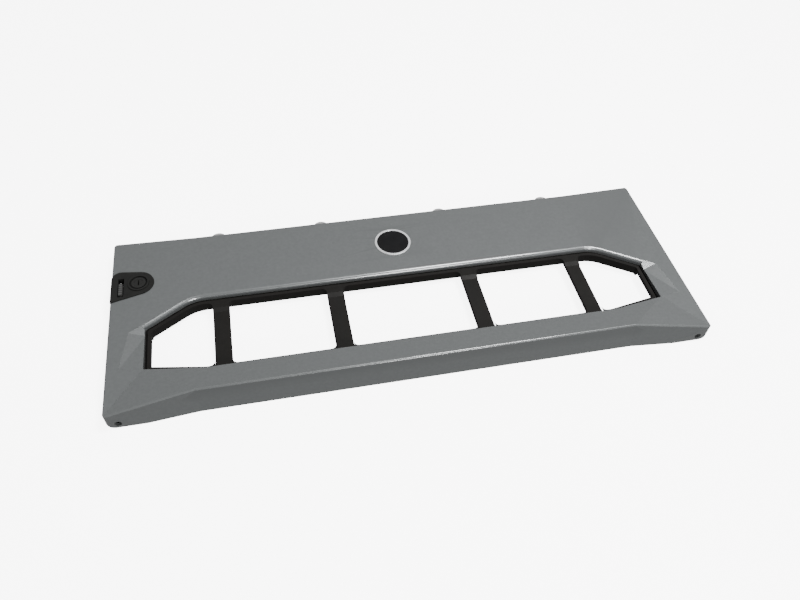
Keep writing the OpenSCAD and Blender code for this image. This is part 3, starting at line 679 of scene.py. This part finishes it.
@dataclass
class Badge:
    """Round place for a badge: bright ring, bare black disc, push-on nut.

    Attributes:
        shop: The workshop.
        dome: How far the disc's glossy face rises at its middle.
        rim_gap: Gap between the face and the ring.
        rings: Steps of the dome from its middle to its rim.
    """

    shop: Workshop
    dome: float = 0.3 * MM
    rim_gap: float = 0.15 * MM
    rings: int = 8

    def build(self) -> None:
        """Dresses the badge and adds its domed face."""
        self.shop.dress(BRIGHT, "badge_ring")
        self.shop.dress(BADGE_BLACK, "badge_disc")
        self.shop.dress(STEEL, "badge_nut")
        self.shop.add("badge_face", self.face(), Body.BEZEL, BADGE_BLACK, Slot.BADGE)

    def face(self) -> bmesh.types.BMesh:
        """Turns the shallow dome that covers the disc."""
        low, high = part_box("badge_disc")
        centre = middle("badge_disc")
        radius = (high[0] - low[0]) / 2.0 - self.rim_gap
        top = high[2]
        shares = [k / self.rings for k in range(self.rings + 1)]
        arc = [(radius * share, top + self.dome * (1.0 - share**2)) for share in shares]
        return lathe([(0.0, top - self.rim_gap), *arc, (radius, top - self.rim_gap)], centre)


@dataclass
class LockSet:
    """Key lock: barrel, plug, cam, nut and the insert that holds them.

    Attributes:
        shop: The workshop.
        groove_shade_inner: Inner radius of the black ring that fills the groove round the barrel's head as
            painted shade.
        groove_shade_outer: Outer radius of that ring.
        groove_shade_low: Height of its underside.
        groove_shade_high: Height of its top.
        thread_r: Radius of the thread's middle line.
        thread_depth: Radius of the thread's rounded ridge.
        thread_pitch: Pitch of the thread.
    """

    shop: Workshop
    groove_shade_inner: float = 6.0 * MM
    groove_shade_outer: float = 7.1 * MM
    groove_shade_low: float = 16.12 * MM
    groove_shade_high: float = 16.7 * MM
    thread_r: float = 4.98 * MM
    thread_depth: float = 0.28 * MM
    thread_pitch: float = 0.8 * MM

    def build(self) -> None:
        """Dresses the lock and adds its painted-shade ring and its thread."""
        self.shop.dress(INSERT_BLACK, "lock_escutcheon")
        self.shop.dress(LOCK_DARK, "lock_barrel", "lock_plug")
        self.shop.dress(STEEL, "lock_nut", "lock_cam", "cam_screw")
        # The black ring in the groove round the barrel's head is painted shade, dressed in the black rubber
        # finish.
        self.shop.add("lock_groove_shade_ring", self.groove_shade(), Body.BEZEL, RUBBER, Slot.RUBBER)
        self.shop.add("lock_barrel_thread", self.thread(), Body.BEZEL, LOCK_DARK, Slot.LOCK, smooth=60.0)

    def groove_shade(self) -> bmesh.types.BMesh:
        """Turns the black ring that fills the groove round the barrel's head, painted shade for that groove.
        """
        centre = middle("lock_barrel")
        return lathe(
            [(self.groove_shade_inner, self.groove_shade_low), (self.groove_shade_outer, self.groove_shade_low),
             (self.groove_shade_outer, self.groove_shade_high), (self.groove_shade_inner, self.groove_shade_high)], centre)

    def thread(self) -> bmesh.types.BMesh:
        """Winds the thread on the barrel's rear end."""
        axis = middle("lock_barrel")
        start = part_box("lock_barrel")[0][2] + self.thread_pitch / 2.0
        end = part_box("lock_nut")[0][2] - self.thread_pitch / 2.0
        turns = math.floor((end - start) / self.thread_pitch)
        return coil(
            Vector((axis.x, axis.y, start)), Vector((0.0, 0.0, 1.0)), self.thread_r, self.thread_depth,
            self.thread_pitch, turns, sides=6)


@dataclass
class LatchSet:
    """Thumb latch with its bolt, spring, cover and screws.

    Attributes:
        shop: The workshop.
        travel: How far the latch slides up; not used.
        wire: Radius of the spring's wire.
        turns: Turns of the spring.
    """

    shop: Workshop
    travel: float = 6.0 * MM
    wire: float = 0.3 * MM
    turns: int = 5

    def build(self) -> None:
        """Dresses the latch and winds its spring."""
        self.shop.dress(LATCH_GREY, "release_latch")
        self.shop.dress(GRILLE_BLACK, "latch_cover")
        self.shop.dress(STEEL, "latch_bolt", "latch_screws")
        piece = self.shop.add("latch_coil", self.spring(), Body.BEZEL, STEEL, Slot.STEEL)
        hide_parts("latch_spring")
        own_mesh(piece)

    def spring(self) -> bmesh.types.BMesh:
        """Winds the spring between the latch and the end of its channel."""
        low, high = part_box("latch_spring")
        centre = middle("latch_spring")
        start = low[1] + self.wire
        pitch = (high[1] - self.wire - start) / self.turns
        radius = (high[0] - low[0]) / 2.0 - self.wire
        return coil(
            Vector((centre.x, start, centre.z)), Vector((0.0, 1.0, 0.0)), radius, self.wire, pitch,
            float(self.turns))


@dataclass
class Backing:
    """Folded sheet frame, hook plate, their screws and the rubber bumpers."""

    shop: Workshop

    def build(self) -> None:
        """Dresses the rear pieces."""
        self.shop.dress(ZINC, "backing_frame", "hook_plate")
        self.shop.dress(STEEL, "backing_screws", "hook_screws")
        self.shop.dress(RUBBER, "rear_bumpers")


@dataclass
class Pads:
    """Domed pads along the upper edge."""

    shop: Workshop

    def build(self) -> None:
        """Dresses the pads."""
        self.shop.dress(PAD_MILK, "top_pads")


def main() -> None:
    """Builds the stage and every sub-assembly in order."""
    logging.basicConfig(level=logging.INFO, format="%(name)s %(message)s")
    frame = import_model()
    Studio().build()
    shop = Workshop(frame, shared_groups())
    for assembly in (Shell, Grille, Badge, LockSet, LatchSet, Backing, Pads):
        assembly(shop).build()


if __name__ == "__main__":
    main()
